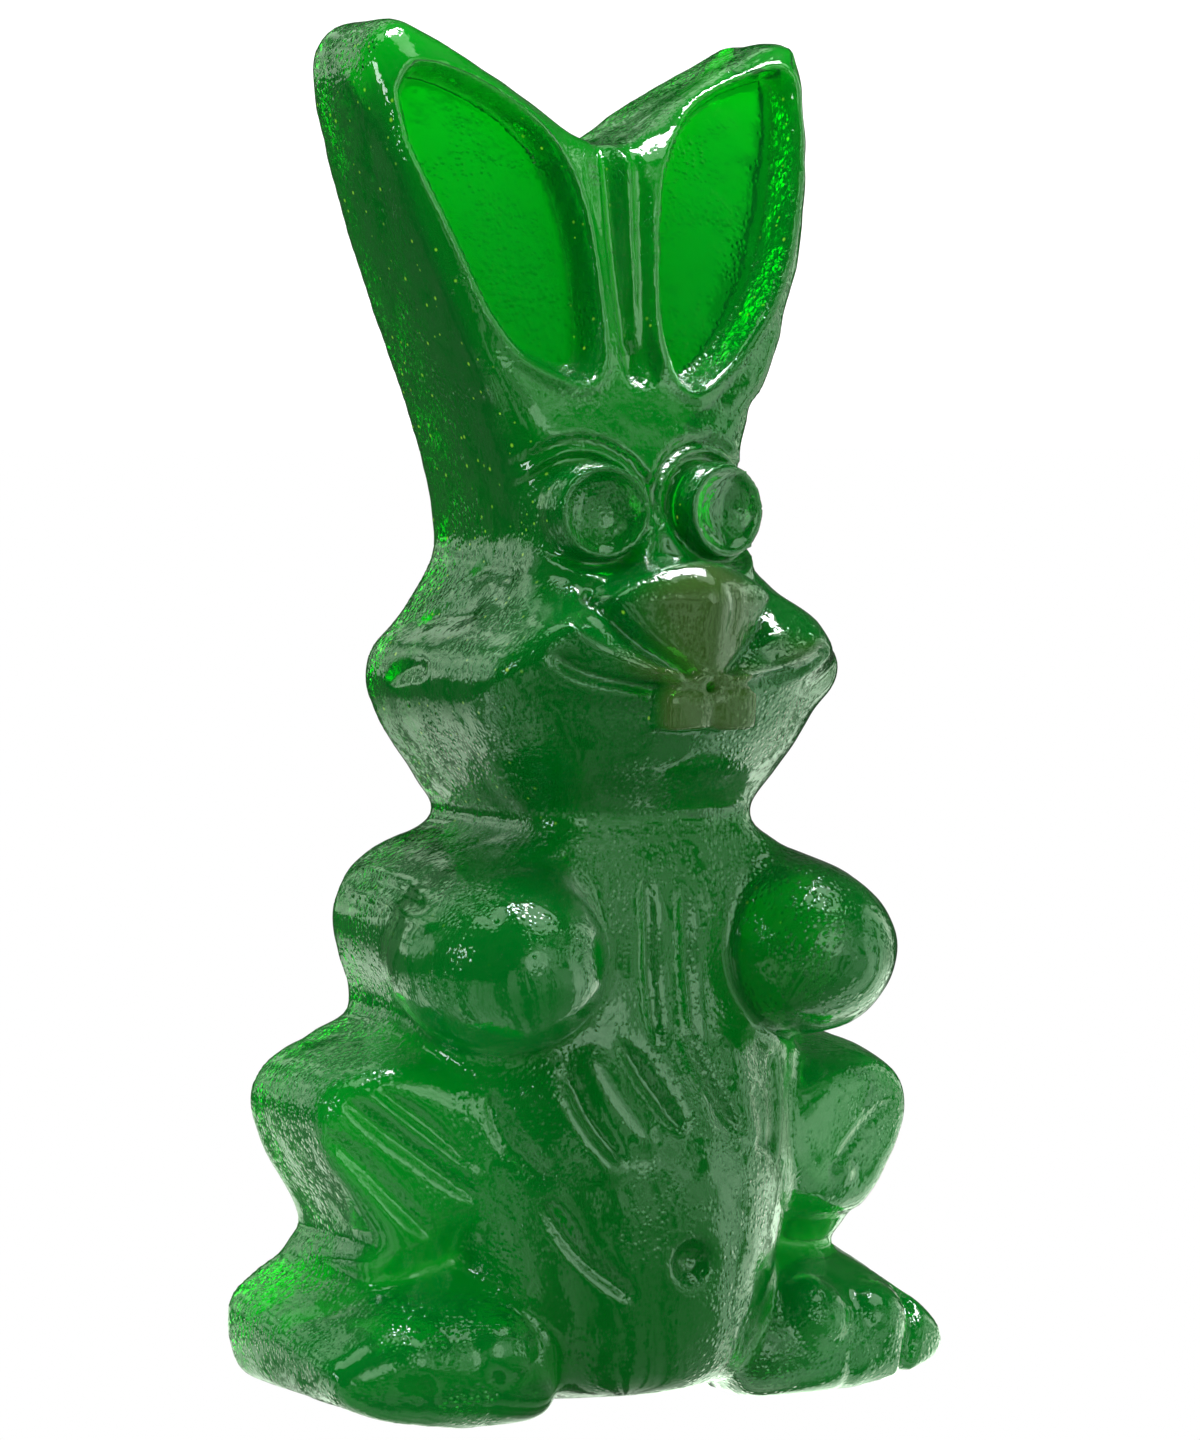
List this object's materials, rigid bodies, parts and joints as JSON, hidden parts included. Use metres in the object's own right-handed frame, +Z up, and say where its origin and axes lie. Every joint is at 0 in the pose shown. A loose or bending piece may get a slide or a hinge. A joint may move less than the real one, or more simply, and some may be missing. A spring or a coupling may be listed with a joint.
{
  "type": "gummy bunny",
  "caption": "Moulded jelly sweet in the form of an upright rabbit with tall ears, round eyes, front teeth, folded arms and large feet, flat at the back and under the feet.",
  "frame": {"origin": "middle of the bounding box's base, on the plane the feet stand on", "axes": "+Z up from the feet to the ears, -Y out of the face, +X to the viewer's right; the flat back faces +Y"},
  "size_m": [0.0463, 0.0255, 0.0896],
  "materials": {
    "green_jelly": "clear deep green jelly, glossy with fine pits"
  },
  "bodies": {
    "root": {"gummy_bunny": "green_jelly"}
  },
  "joints": []
}
